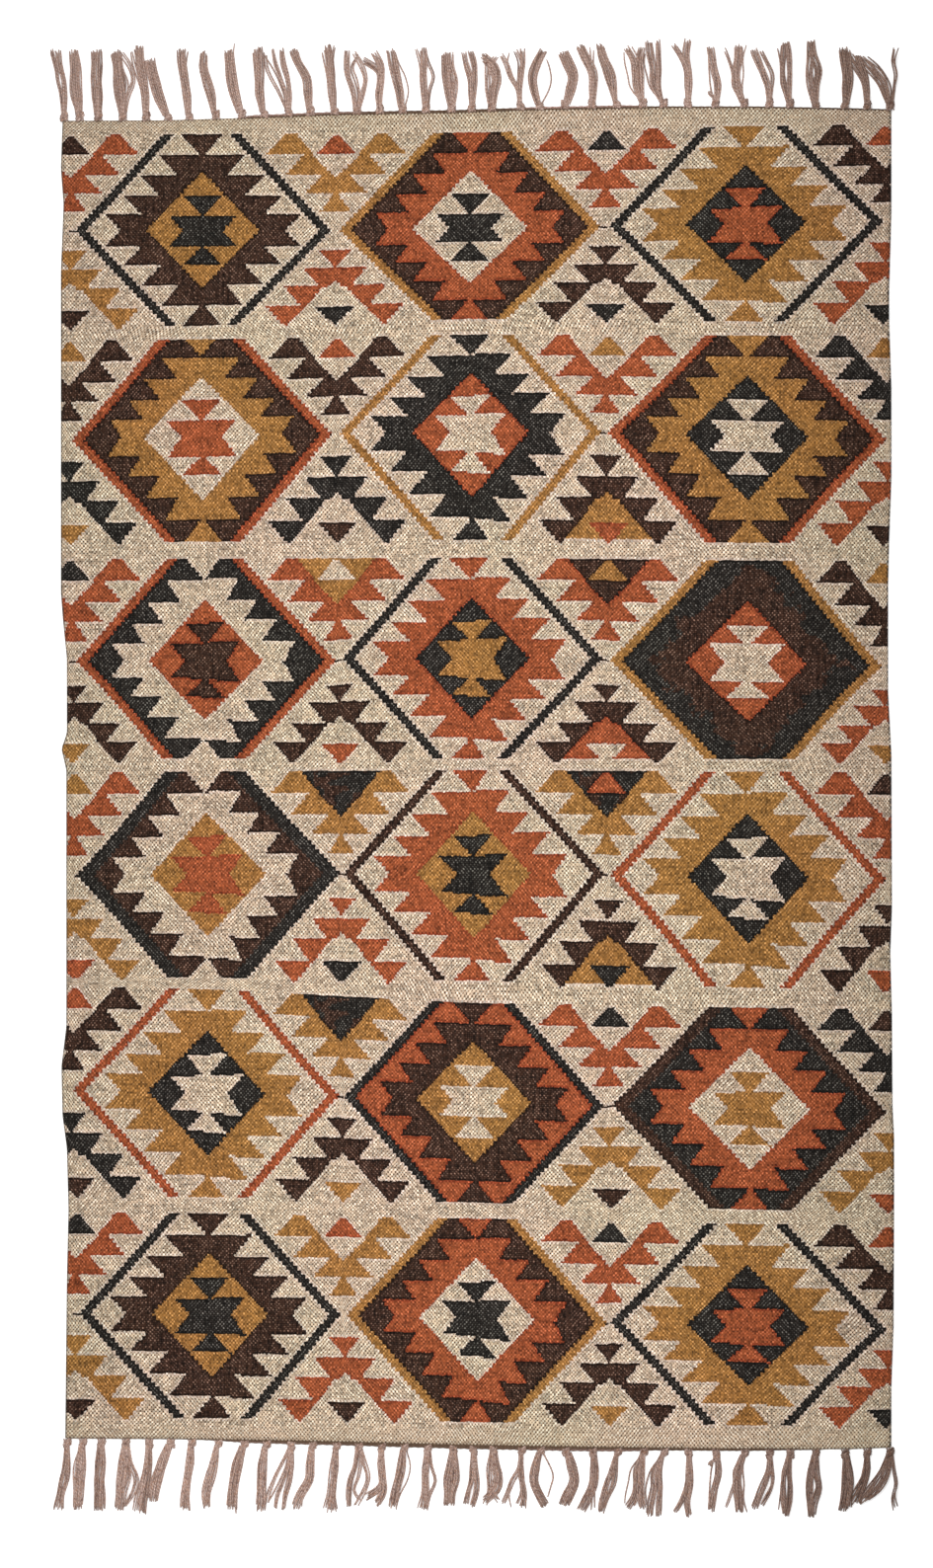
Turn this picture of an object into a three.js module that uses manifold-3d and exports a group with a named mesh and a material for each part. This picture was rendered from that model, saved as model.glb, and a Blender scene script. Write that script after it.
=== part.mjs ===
// A flat-woven kilim rug of about 5 by 8 ft, lying flat, with a knotted warp fringe at each end.
// Millimetres. +Z is up, +Y runs along the rug to its top edge, and the floor is z = 0.
import * as THREE from 'three';
import { mergeVertices } from 'three/addons/utils/BufferGeometryUtils.js';
import Module from 'manifold-3d';

const wasm = await Module();
wasm.setup();

// Cloth
const clothThickness = 5;
const edgeGap = 0.3; // between the cloth and the header cord of each fringe

// Header cord, twined along each end of the cloth
const cordThickness = 4.6;
const topCordWidth = 4;
const bottomCordWidth = 6;

// Knots, loaf-shaped: flat below and rounded off above
const knotWidth = 15;
const knotHeight = 9.6;
const knotLength = 14;
const knotShoulder = 3.4; // how far the top's corners are taken off
const knotLap = 2.4; // how far a knot sits over its cord
const lockInset = 1; // how deep a lock is set into its knot
const lockRise = 1.6; // a lock leaves its knot this far above the floor, then lies down

// Tassels: each is a few locks of warp yarn that part past the knot
const locksPerTassel = 4;
const lockSides = 3;
const lockSteps = 4;
const lockHeight = 4.8;
const lockPitchAtKnot = 3.5;
const lockPitch = 5.5; // side by side along the tassel's body
const lockGap = 0.5;
const tipTaper = 0.75; // width of a lock at its cut end, as a share of its body
const tasselClearance = 2.5; // room kept between neighbouring tassels
const combPasses = 60; // times that tassels which meet are combed a little further apart
const unevenEnds = 0.07; // share by which the shortest lock of a tassel falls behind

// The selvedges wander where the weft was drawn in more or less: x of each edge at y.
const leftSelvedge = [
  { y: 1119, x: -765 },
  { y: 1052, x: -760 },
  { y: 930, x: -765 },
  { y: 340, x: -765 },
  { y: 288, x: -761 },
  { y: 219, x: -754 },
  { y: 81, x: -754 },
  { y: 53, x: -764 },
  { y: 14, x: -755 },
  { y: -458, x: -755 },
  { y: -531, x: -764 },
  { y: -622, x: -762 },
  { y: -681, x: -754 },
  { y: -794, x: -751 },
  { y: -923, x: -754 },
];
const rightSelvedge = [
  { y: 1115, x: 761 },
  { y: 1037, x: 761 },
  { y: 895, x: 757 },
  { y: 839, x: 757 },
  { y: 718, x: 761 },
  { y: 549, x: 761 },
  { y: 437, x: 757 },
  { y: 353, x: 755 },
  { y: 157, x: 755 },
  { y: 44, x: 761 },
  { y: -239, x: 762 },
  { y: -322, x: 759 },
  { y: -435, x: 762 },
  { y: -603, x: 763 },
  { y: -660, x: 766 },
  { y: -800, x: 766 },
  { y: -1010, x: 765 },
  { y: -1121, x: 761 },
];

// The two ends, from the left corner to the right one: y of the edge at x.
const topEdge = [
  { x: -762, y: 1206 },
  { x: -573, y: 1207 },
  { x: -433, y: 1211 },
  { x: -266, y: 1218 },
  { x: -44, y: 1222 },
  { x: 97, y: 1227 },
  { x: 293, y: 1231 },
  { x: 518, y: 1231 },
  { x: 687, y: 1228 },
  { x: 758, y: 1226 },
];
const bottomEdge = [
  { x: -755, y: -1214 },
  { x: -551, y: -1215 },
  { x: -260, y: -1221 },
  { x: -24, y: -1227 },
  { x: 211, y: -1231 },
  { x: 465, y: -1234 },
  { x: 683, y: -1234 },
  { x: 761, y: -1231 },
];

// One row for each tassel, from left to right, the same at both ends:
// root is its place along the edge, lean how far its tip lies to the right, bow how far its
// middle swings to the right, reach its length, open the extra pitch of its locks half way
// along, and fan the extra pitch at the tips.
const tassels = [
  { root: -753, lean: -29, bow: 8, reach: 131, open: 0.5, fan: 2 },
  { root: -731, lean: -10, bow: -1, reach: 131, open: 0.5, fan: 0 },
  { root: -698, lean: -3, bow: -1, reach: 131, open: 0, fan: 0 },
  { root: -651, lean: -13, bow: 5, reach: 127, open: 4, fan: 3 },
  { root: -609, lean: -11, bow: 1, reach: 132, open: 0, fan: 2 },
  { root: -567, lean: -33, bow: -4, reach: 113, open: 0, fan: 0.5 },
  { root: -531, lean: -12, bow: 1, reach: 129, open: 0, fan: 1.5 },
  { root: -480, lean: -24, bow: -4, reach: 123, open: 0, fan: 0 },
  { root: -429, lean: -25, bow: -5, reach: 127, open: 0, fan: 1 },
  { root: -389, lean: -14, bow: -3, reach: 125, open: 0.5, fan: 1.5 },
  { root: -343, lean: -26, bow: 3, reach: 123, open: 1.5, fan: 6 },
  { root: -303, lean: -34, bow: 7, reach: 126, open: 0, fan: 1 },
  { root: -262, lean: -14, bow: 1, reach: 125, open: 0, fan: 2.5 },
  { root: -221, lean: -14, bow: 2, reach: 121, open: 3, fan: 6 },
  { root: -179, lean: -31, bow: 18, reach: 106, open: 0, fan: 0.5 },
  { root: -135, lean: -23, bow: 1, reach: 117, open: 1, fan: 2 },
  { root: -93, lean: -13, bow: 0, reach: 115, open: 2, fan: 1 },
  { root: -47, lean: -10, bow: 0, reach: 105, open: 3, fan: 0.5 },
  { root: -9, lean: -12, bow: 5, reach: 110, open: 0.5, fan: 3 },
  { root: 28, lean: -16, bow: 16, reach: 96, open: 1, fan: 3 },
  { root: 81, lean: -11, bow: 3, reach: 110, open: 2, fan: 6 },
  { root: 116, lean: 8, bow: -21, reach: 106, open: 0, fan: 0 },
  { root: 160, lean: -1, bow: 15, reach: 111, open: 0, fan: 1.5 },
  { root: 210, lean: -19, bow: 13, reach: 117, open: 0, fan: 3 },
  { root: 258, lean: -34, bow: 7, reach: 117, open: 1, fan: 0.5 },
  { root: 305, lean: -19, bow: -3, reach: 109, open: 1, fan: 4 },
  { root: 341, lean: -19, bow: -3, reach: 121, open: 0, fan: 2 },
  { root: 387, lean: -8, bow: 4, reach: 121, open: 0, fan: 5 },
  { root: 436, lean: -7, bow: 10, reach: 117, open: 0.5, fan: 0 },
  { root: 490, lean: -15, bow: -9, reach: 116, open: 0, fan: 5 },
  { root: 536, lean: -25, bow: 11, reach: 107, open: 1, fan: 3 },
  { root: 574, lean: -8, bow: -3, reach: 120, open: 1, fan: 0 },
  { root: 622, lean: -9, bow: 1, reach: 122, open: 3, fan: 0 },
  { root: 675, lean: -9, bow: 6, reach: 113, open: 0, fan: 1.5 },
  { root: 717, lean: -25, bow: 6, reach: 104, open: 0, fan: 0.5 },
  { root: 752, lean: -33, bow: 8, reach: 106, open: 1, fan: 4 },
];

const kilimWeave = new THREE.MeshStandardMaterial({ color: 0xa98b6c, roughness: 0.95, metalness: 0 });
const fringeYarn = new THREE.MeshStandardMaterial({ color: 0xa58a7c, roughness: 0.9, metalness: 0 });

// Height of an end's edge above x, along the straight runs between its rows
function edgeAt(edge, x) {
  let i = 1;
  while (i < edge.length - 1 && edge[i].x < x) i += 1;
  const share = (x - edge[i - 1].x) / (edge[i].x - edge[i - 1].x);
  return THREE.MathUtils.lerp(edge[i - 1].y, edge[i].y, THREE.MathUtils.clamp(share, 0, 1));
}

function flatPiece(points, thickness) {
  const outline = new THREE.Shape(points.map(({ x, y }) => new THREE.Vector2(x, y)));
  return new THREE.ExtrudeGeometry(outline, { depth: thickness, bevelEnabled: false });
}

// Round the cloth: down the left side, along the bottom, up the right side and back
function cloth() {
  const outline = [
    ...leftSelvedge,
    ...bottomEdge,
    ...[...rightSelvedge].reverse(),
    ...[...topEdge].reverse(),
  ];
  return flatPiece(outline, clothThickness);
}

// The cord follows the cloth's edge; outward is 1 at the top end and -1 at the bottom end.
function headerCord(edge, width, outward) {
  const near = edge.map(({ x, y }) => ({ x, y: y + outward * edgeGap }));
  const far = edge.map(({ x, y }) => ({ x, y: y + outward * (edgeGap + width) })).reverse();
  return flatPiece([...near, ...far], cordThickness);
}

function knot(x, y) {
  const half = knotWidth / 2;
  const section = [
    { x: -half, y: 0 },
    { x: half, y: 0 },
    { x: half, y: knotHeight - knotShoulder },
    { x: half - knotShoulder, y: knotHeight },
    { x: knotShoulder - half, y: knotHeight },
    { x: -half, y: knotHeight - knotShoulder },
  ];
  const body = flatPiece(section, knotLength).rotateX(Math.PI / 2);
  return body.translate(x, y + knotLength / 2, 0);
}

// Middle line and spread of every tassel at a share of its reach, combed apart where two meet
function combed(share) {
  const rows = tassels.map((row) => {
    const swing = row.lean * share + row.bow * 4 * share * (1 - share);
    const settled = Math.min(1, share * lockSteps);
    const body = THREE.MathUtils.lerp(lockPitchAtKnot, lockPitch, settled);
    const opened = row.open * Math.sin(Math.PI * share);
    return { x: row.root + swing, pitch: body + opened + row.fan * share * share };
  });
  if (share === 0) return rows;
  for (let pass = 0; pass < combPasses; pass += 1) {
    for (let i = 1; i < rows.length; i += 1) {
      const [left, right] = [rows[i - 1], rows[i]];
      const halves = ((left.pitch + right.pitch) * locksPerTassel) / 2;
      const short = Math.max(0, halves + tasselClearance - (right.x - left.x));
      left.x -= short / 4;
      right.x += short / 4;
      for (const row of [left, right]) {
        if (short > 0) row.pitch = Math.max(lockPitch, row.pitch - short / (2 * locksPerTassel));
      }
    }
  }
  return rows;
}

// The locks of a tassel end unevenly, in four orders of length: one set of stations for each.
const lengthOrders = [0, 1, 2, 3].map((order) => 1 - (unevenEnds * order) / 3);
const combedRows = lengthOrders.map((part) => (
  Array.from({ length: lockSteps + 1 }, (_, step) => combed((part * step) / lockSteps))
));

// A lock is a long prism with its flat side on the floor, bent through its stations.
function lock(tassel, place, rootY, outward) {
  const order = (tassel * 5 + place * 3) % lengthOrders.length;
  const reach = (tassels[tassel].reach - knotLength) * lengthOrders[order];
  const stations = combedRows[order].map((rows, step) => {
    const { x, pitch } = rows[tassel];
    const across = (place - (locksPerTassel - 1) / 2) * pitch;
    return {
      at: new THREE.Vector2(x + across, rootY + (outward * reach * step) / lockSteps),
      room: step === 0 ? lockPitchAtKnot : lockPitch,
      taper: step === lockSteps ? tipTaper : 1,
    };
  });
  const prism = new THREE.CylinderGeometry(1, 1, 1, lockSides, lockSteps);
  const points = prism.attributes.position;
  const low = Math.cos((2 * Math.PI) / lockSides);
  const wide = Math.sin((2 * Math.PI) / lockSides);
  for (let i = 0; i < points.count; i += 1) {
    const step = Math.round((points.getY(i) + 0.5) * lockSteps);
    const before = stations[Math.max(0, step - 1)].at;
    const after = stations[Math.min(lockSteps, step + 1)].at;
    const along = after.clone().sub(before).normalize();
    const { at, room, taper } = stations[step];
    const width = (room * Math.abs(along.y) - lockGap) * taper;
    const across = (points.getX(i) / wide) * (width / 2);
    const lift = step === 0 ? lockRise : 0;
    const up = lift + ((points.getZ(i) - low) / (1 - low)) * lockHeight;
    points.setXYZ(i, at.x + along.y * across, at.y - along.x * across, up);
  }
  return prism;
}

function toSolid(geometry) {
  geometry.deleteAttribute('normal');
  geometry.deleteAttribute('uv');
  const merged = mergeVertices(geometry);
  return new wasm.Manifold(new wasm.Mesh({
    numProp: 3,
    vertProperties: Float32Array.from(merged.attributes.position.array),
    triVerts: Uint32Array.from(merged.index.array),
  }));
}

function toGeometry(solid) {
  const { vertProperties, triVerts } = solid.getMesh();
  const geometry = new THREE.BufferGeometry();
  geometry.setAttribute('position', new THREE.BufferAttribute(vertProperties, 3));
  geometry.setIndex(new THREE.BufferAttribute(triVerts, 1));
  geometry.computeVertexNormals();
  return geometry;
}

// Cord, knots and locks of one end, fused at the locks' roots
function fringe(edge, cordWidth, outward) {
  let solid = toSolid(headerCord(edge, cordWidth, outward));
  tassels.forEach(({ root }, tassel) => {
    const cordEdge = edgeAt(edge, root) + outward * (edgeGap + cordWidth);
    const knotY = cordEdge + outward * (knotLength / 2 - knotLap);
    let tied = toSolid(knot(root, knotY));
    for (let place = 0; place < locksPerTassel; place += 1) {
      const rootY = knotY + outward * (knotLength / 2 - lockInset);
      tied = tied.add(toSolid(lock(tassel, place, rootY, outward)));
    }
    solid = solid.add(tied);
  });
  return toGeometry(solid);
}

function piece(name, geometry, material) {
  const mesh = new THREE.Mesh(geometry, material);
  mesh.name = name;
  return mesh;
}

const rug = new THREE.Group();
rug.add(piece('rug_body', cloth(), kilimWeave));
rug.add(piece('fringe_top', fringe(topEdge, topCordWidth, 1), fringeYarn));
rug.add(piece('fringe_bottom', fringe(bottomEdge, bottomCordWidth, -1), fringeYarn));

// The origin is under the middle of the whole rug.
const middle = new THREE.Box3().setFromObject(rug).getCenter(new THREE.Vector3());
rug.position.set(-middle.x, -middle.y, 0);

export default rug;
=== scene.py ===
# A flat-woven kilim rug, about 5 by 8 ft, lying on a pale floor and seen from straight above.
# Blender's metres. Tables are in millimetres, from the middle of the rug, as a weaver would measure them.
import math
import random

import bmesh
import bpy
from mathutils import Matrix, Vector, noise


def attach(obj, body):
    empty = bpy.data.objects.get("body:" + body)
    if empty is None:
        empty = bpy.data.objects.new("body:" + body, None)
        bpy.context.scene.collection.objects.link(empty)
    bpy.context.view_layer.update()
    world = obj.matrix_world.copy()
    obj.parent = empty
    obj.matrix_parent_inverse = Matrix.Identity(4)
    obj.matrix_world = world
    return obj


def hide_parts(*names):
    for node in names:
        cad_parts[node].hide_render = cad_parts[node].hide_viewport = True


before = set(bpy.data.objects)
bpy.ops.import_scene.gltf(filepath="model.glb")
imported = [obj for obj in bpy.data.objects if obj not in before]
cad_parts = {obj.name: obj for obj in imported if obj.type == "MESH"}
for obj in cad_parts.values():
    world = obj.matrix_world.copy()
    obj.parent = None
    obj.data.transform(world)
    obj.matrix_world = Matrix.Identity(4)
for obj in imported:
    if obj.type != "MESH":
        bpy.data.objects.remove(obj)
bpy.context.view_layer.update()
mm = 0.001
print("frame loaded:", sorted(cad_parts))


def rowsOf(names, *rows):
    # A table whose rows carry their columns' names; a row may leave out its last columns
    return [dict(zip(names.split(), row)) for row in rows]


def linked(name, data):
    item = bpy.data.objects.new(name, data)
    bpy.context.scene.collection.objects.link(item)
    return item


def meshOf(name, bm):
    mesh = bpy.data.meshes.new(name)
    bm.to_mesh(mesh)
    bm.free()
    return mesh


view = {
    "height": 14.0,  # far enough that the rug's edges show no perspective
    "centre": (-5.6, -8.9),  # what the middle of the picture looks at
    "tall": 2882.0,  # the floor that the picture takes in from top to bottom
    "sensor": 36,
}

camera = linked("Camera", bpy.data.cameras.new("Camera"))
camera.data.sensor_fit = "VERTICAL"
camera.data.sensor_height = view["sensor"]
camera.data.lens = view["sensor"] * view["height"] / (view["tall"] * mm)
camera.data.clip_end = 60
camera.location = (view["centre"][0] * mm, view["centre"][1] * mm, view["height"])
bpy.context.scene.camera = camera
print("camera placed")


# The chart
# The pattern is counted in steps of about two warps by two picks, from the top left corner.
chart = {
    "columns": 217,
    "rows": 309,
    "warps": 452,
    "picks": 654,
    "medallionColumns": [38, 109, 180],  # the step that each medallion is centred on
    "gapColumns": [2.5, 73.5, 144.5, 215.5],  # and each motif between two of them
    "rowTops": [4, 54, 105, 155, 206, 257],
    "halfWidth": 34,  # of a medallion, tip to middle
    "halfHeight": 23.5,
    "halfTop": 10.5,  # half the flat top
    "line": 3,  # width of a medallion's outline
    "gapReach": 2.4,  # how far the motifs between two medallions stand past their flat sides
    "gapHalf": 20,  # and half their width
    "notchSlope": 1.1,
}

# In many medallions the rows to the right drifted away from the middle, up and down
slight = {"up": (0, 0.4), "down": (0, 0.6)}
clear = {"up": (0, 0.9), "down": (0, 1.3)}

# Where the weaver's medallions really lie, row by row: yarns are outline, ground, stepped band,
# diamond and core; left and right are x, y of the tips; top and bottom are x of both corners and y
# of the flat side. Some have their own way: up and down tell how many steps too far out the rows
# above and below the middle lie, at the left and right; core is the core's height above and below
# it, waist and line are widths, and tails how far the outline's tips run on.
medallions = rowsOf(
    "yarns left right top bottom own",
    ("KCBOK", (-725, 1009), (-255, 1008), (-563, -421, 1185), (-557, -427, 833),
     {"core": (3.7, 4.2), "tails": (2, 0)}),
    ("OBRCK", (-239, 1009), (240, 1016), (-68, 76, 1188), (-69, 68, 846),
     {"tails": (0, 2.5)}),
    ("KCOKR", (257, 1017), (759, 1026), (429, 583, 1200), (434, 580, 841),
     {**slight, "core": (3.7, 4.4)}),
    ("RBOCR", (-731, 623), (-253, 635), (-575, -414, 808), (-559, -420, 436),
     {"up": (0.7, 0.7), "core": (3.5, 4.6)}),
    ("OCKRC", (-239, 637), (242, 639), (-72, 79, 817), (-65, 78, 440),
     {**clear, "core": (4.0, 3.9), "tails": (0, 2.5)}),
    ("RBOKC", (254, 638), (766, 624), (431, 590, 815), (434, 591, 434)),
    ("RKCRB", (-723, 217), (-246, 218), (-557, -418, 405), (-565, -409, 38),
     {**clear, "core": (3.9, 4.1), "tails": (3, 2.5)}),
    ("KCRKO", (-233, 222), (244, 222), (-73, 77, 407), (-66, 70, 38),
     {**clear, "core": (4.1, 4.1), "tails": (0, 2.5)}),
    ("OKKRC", (258, 219), (758, 207), (433, 596, 402), (433, 600, 37),
     {"plainBand": True, "core": (4.3, 4.5)}),
    ("KBCOR", (-722, -177), (-238, -172), (-561, -413, 14), (-555, -408, -365),
     {"line": 4.5, **clear, "core": (3.8, 3.8), "tails": (1, 3.5)}),
    ("BCROK", (-232, -173), (247, -174), (-62, 72, 17), (-63, 80, -370),
     {**clear, "core": (3.8, 4.2), "waist": 4.2, "tails": (0, 2)}),
    ("RCOKC", (259, -176), (765, -184), (430, 588, 14), (434, 593, -383),
     {**clear, "core": (3.9, 4.2)}),
    ("RCOKC", (-729, -571), (-239, -581), (-554, -406, -386), (-553, -405, -768),
     {**clear, "core": (3.6, 4.0), "tails": (0, 2.5)}),
    ("KRBOC", (-230, -583), (246, -601), (-70, 81, -411), (-59, 80, -778),
     {"tails": (0, 3)}),
    ("BKRCO", (262, -599), (766, -611), (438, 593, -420), (441, 593, -791),
     {"line": 4, **slight, "core": (3.7, 4.0)}),
    ("KCBOK", (-717, -981), (-237, -984), (-554, -404, -798), (-542, -399, -1174),
     {**slight, "core": (3.6, 4.3), "tails": (2, 0)}),
    ("OBRCK", (-226, -984), (252, -999), (-61, 86, -807), (-52, 83, -1181),
     {"up": (0, 0.9), "down": (-0.3, 1.3), "core": (3.9, 4.0), "tails": (0, 2)}),
    ("KCOKR", (258, -997), (766, -1012), (434, 582, -817), (432, 594, -1187),
     {**slight, "core": (3.7, 4.2)}),
)
medallionRows = [medallions[i:i + 3] for i in range(0, len(medallions), 3)]

# Motifs between the medallions of a row, left edge to right edge: the yarn of the arms, of the
# small triangle, and of the large one that fills between the arms. A dot is the ground. Drop is
# how many steps further down than in the other rows the lower motifs lie.
gapMotifs = [
    {"upper": ["RB.", "OR.", "RK.", "BR."], "lower": ["OB.", "RK.", "BK.", "RK."], "drop": 0},
    {"upper": ["BO.", "BR.", "RO.", "KO."], "lower": ["KO.", "KB.", "BRO", "RB."], "drop": 0},
    {"upper": ["RK.", "RCO", "ROB", "BO."], "lower": ["BO.", "BR.", "BCR", "RO."], "drop": 0.6},
    {"upper": ["RO.", "O.K", "ORK", "RB."], "lower": ["OR.", "RK.", "BKO", "BR."], "drop": 0.3},
    {"upper": ["BR.", "O.K", "RK.", "KB."], "lower": ["KB.", "BO.", "OB.", "OR."], "drop": 0},
    {"upper": ["RK.", "OR.", "RK.", "BR."], "lower": ["OB.", "RB.", "BO.", "RK."], "drop": 0},
]

# A medallion's band steps in and out: half its width where each step starts and where it ends,
# and how much a coloured ground laps over it at both
bandSteps = rowsOf(
    "start end from to lapFrom lapTo",
    (0, 3.8, 21.9, 26.0, 0.4, 1.4),
    (3.8, 8.4, 16.2, 21.2, 0.3, 1.6),
    (8.4, 13.3, 11.4, 16.5, 0.3, 1.4),
    (13.3, 18.4, 6.5, 11.6, 0, 1.4),
    (18.4, 23.6, 0.6, 5.8, 0.2, 0.6),
)
diamond = {"across": 15, "along": 14.3}
core = {"waist": 5.4, "shoulder": 9.3, "height": (3.7, 3.7), "capTo": 8.4, "capHalf": 4.7, "capLap": 0.5}

# Where the rows' drift starts and how far across it grows, and by which row it has set in
drift = {"start": 6, "over": 18, "settled": 4}

# One medallion has a plain band. Its brown weft runs out into the charcoal: how wide the charcoal
# edge would be, and how far the patches and the single picks stray from it, in steps
plainBand = {"edge": 7, "patches": 5, "picks": 3}

# Charcoal and brown weft run into each other in the largest dark fields as well
darkPatches = {"long": 9, "high": 5, "charcoalTo": 0.02, "to": 0.75, "half": 7}

# Triangles of a gap motif: how far aside and from the middle the long side lies (wide), the
# distance of the point (narrow), and half the width at the long side and at the tip. Lean is how
# much nearer the middle the point lies, and notch where the ground cuts in between two arms.
upperTriangles = rowsOf(
    "part aside wide narrow half tip lean notch",
    ("arms", 12.2, 18.7, 23.3, 6.1, 1.5, 0.4),
    ("arms", 7.3, 13.6, 18.7, 6.2, 0.9),
    ("arms", 0, 9.2, 13.6, 8.4, 3.5, 0, 12.8),
    ("arms", 0, 4.4, 9.2, 4.5, 0.6),
    ("small", 0, 18.7, 23.2, 5.2, 0.5),
    ("large", 0, 23.3, 12.8, 10.9, 0.6),
)
lowerTriangles = rowsOf(
    "part aside wide narrow half tip lean notch",
    ("arms", 12.7, 19.1, 24.0, 5.2, 0.4),
    ("arms", 8.1, 14.2, 19.1, 5.2, 0.9),
    ("arms", 0, 9.5, 14.3, 8.5, 4.2, 0, 12.7),
    ("arms", 0, 5.2, 9.3, 4.4, 0.4),
    ("small", 0, 19.4, 23.9, 5.3, 0.4),
    ("large", 0, 23.1, 12.6, 11.9, 1.3),
)

# The cloth's four edges, where the weft was drawn in more or less
leftSelvedge = rowsOf(
    "y x",
    (1206, -748), (1122, -751), (1055, -746), (933, -751), (343, -751), (291, -747), (222, -740),
    (84, -740), (56, -750), (17, -741), (-455, -741), (-528, -750), (-619, -748), (-678, -740),
    (-791, -737), (-920, -740), (-1208, -743),
)
rightSelvedge = rowsOf(
    "y x",
    (1118, 775), (1040, 775), (898, 771), (842, 771), (721, 775), (552, 775), (440, 771), (356, 769),
    (160, 769), (47, 775), (-236, 776), (-319, 773), (-432, 776), (-600, 777), (-657, 780), (-797, 780),
    (-1007, 779), (-1118, 775),
)
topEdge = rowsOf(
    "x y",
    (-748, 1209), (-559, 1210), (-419, 1214), (-252, 1221), (-30, 1225), (111, 1230), (307, 1234),
    (532, 1234), (701, 1231), (772, 1229),
)
bottomEdge = rowsOf(
    "x y",
    (-741, -1211), (-537, -1212), (-246, -1218), (-10, -1224), (225, -1228), (479, -1231), (697, -1231),
    (775, -1228),
)


def between(pairs, at):
    # The value at a place along a rising list of (place, value)
    if at <= pairs[0][0]:
        return pairs[0][1]
    for (a, low), (b, high) in zip(pairs, pairs[1:]):
        if at <= b:
            return low + (high - low) * (at - a) / (b - a)
    return pairs[-1][1]


def edgePairs(table, key, value):
    return sorted((row[key], row[value]) for row in table)


def carriedOut(pairs):
    # Carries half the slope of both ends on to the cloth's sides
    columns = chart["columns"]
    (a, low), (b, high) = pairs[:2]
    (c, before), (d, last) = pairs[-2:]
    first = low - 0.5 * (high - low) / (b - a) * a
    final = last + 0.5 * (last - before) / (d - c) * (columns - d)
    return [(0, first)] + pairs + [(columns, final)]


leftPairs = edgePairs(leftSelvedge, "y", "x")
rightPairs = edgePairs(rightSelvedge, "y", "x")


def endPairs(table):
    # The end's height by step instead of by millimetre
    width = table[-1]["x"] - table[0]["x"]
    steps = [(row["x"] - table[0]["x"]) / width * chart["columns"] for row in table]
    return [(step, row["y"]) for step, row in zip(steps, table)]


def controlRows():
    # Rows of the chart whose place on the cloth is known: x and y along each of them
    rows = []
    centres = chart["medallionColumns"]
    flat, tip = chart["halfTop"], chart["halfWidth"]
    for top, row in zip(chart["rowTops"], medallionRows):
        def flatSide(side):
            corners = ((0, -flat), (1, flat))
            across = [(c + k, m[side][i]) for c, m in zip(centres, row) for i, k in corners]
            return across, carriedOut([(c, m[side][2]) for c, m in zip(centres, row)])

        def tips(axis):
            ends = (("left", -tip), ("right", tip))
            return [(c + k, m[side][axis]) for c, m in zip(centres, row) for side, k in ends]

        rows.append((top, *flatSide("top")))
        rows.append((top + chart["halfHeight"], tips(0), carriedOut(tips(1))))
        rows.append((top + 2 * chart["halfHeight"], *flatSide("bottom")))
    first = (0, rows[0][1], endPairs(topEdge))
    last = (chart["rows"], rows[-1][1], endPairs(bottomEdge))
    return [first] + rows + [last]


knownRows = controlRows()


def placeOnCloth(column, row):
    # Where a step of the chart lies, in millimetres
    for (above, xAbove, yAbove), (below, xBelow, yBelow) in zip(knownRows, knownRows[1:]):
        if row <= below:
            break
    share = (row - above) / (below - above)
    y = between(yAbove, column) * (1 - share) + between(yBelow, column) * share
    left, right = (0, between(leftPairs, y)), (chart["columns"], between(rightPairs, y))
    xs = [between([left] + xs + [right], column) for xs in (xAbove, xBelow)]
    return xs[0] * (1 - share) + xs[1] * share, y


def patchy(column, row):
    spot = noise.noise((column / darkPatches["long"], row / darkPatches["high"], 4.2))
    return "B" if spot > darkPatches["charcoalTo"] else "K"


def medallionYarn(across, along, medallion):
    outline, ground, band, middle, heart = medallion["yarns"]
    own = medallion.get("own", {})
    x, y = abs(across), abs(along)
    rim = chart["halfWidth"] - y
    line = own.get("line", chart["line"])
    if x > rim:
        tail = own.get("tails", (0, 0))[1 if across > 0 else 0]
        return "B" if x < chart["halfWidth"] + tail and -0.5 < along < 0 else None
    if x > rim - line:
        return outline
    # The rows inside drift from where they were meant to lie, and the band's teeth with them
    left, right = own.get("up" if along > 0 else "down", (0, 0))
    drifted = left + (right - left) * min(1, max(0, (across + drift["start"]) / drift["over"]))
    meant = y - drifted * min(1, y / drift["settled"])
    if x / diamond["across"] + y / diamond["along"] <= 1:
        high = own.get("core", core["height"])[0 if along > 0 else 1]
        if meant < high:
            waist = own.get("waist", core["waist"])
            wide = waist + (core["shoulder"] - waist) * meant / high
        else:
            wide = core["capHalf"] * (meant - high + core["capLap"]) / (core["capTo"] - high)
        return heart if x < wide and meant < core["capTo"] else middle
    if own.get("plainBand"):
        patches = plainBand["patches"] * noise.noise((across / 6, along / 4, 4.2))
        picks = plainBand["picks"] * noise.noise((across * 0.7, along * 0.8, 7.1))
        return "B" if x < rim - line - plainBand["edge"] + patches + picks else band
    for step in bandSteps:
        if meant < step["end"]:
            share = (meant - step["start"]) / (step["end"] - step["start"])
            edge = step["from"] + (step["to"] - step["from"]) * share - max(0, drifted)
            if ground != "C":
                edge -= step["lapFrom"] + (step["lapTo"] - step["lapFrom"]) * share
            return band if x <= edge else ground
    return ground


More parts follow.
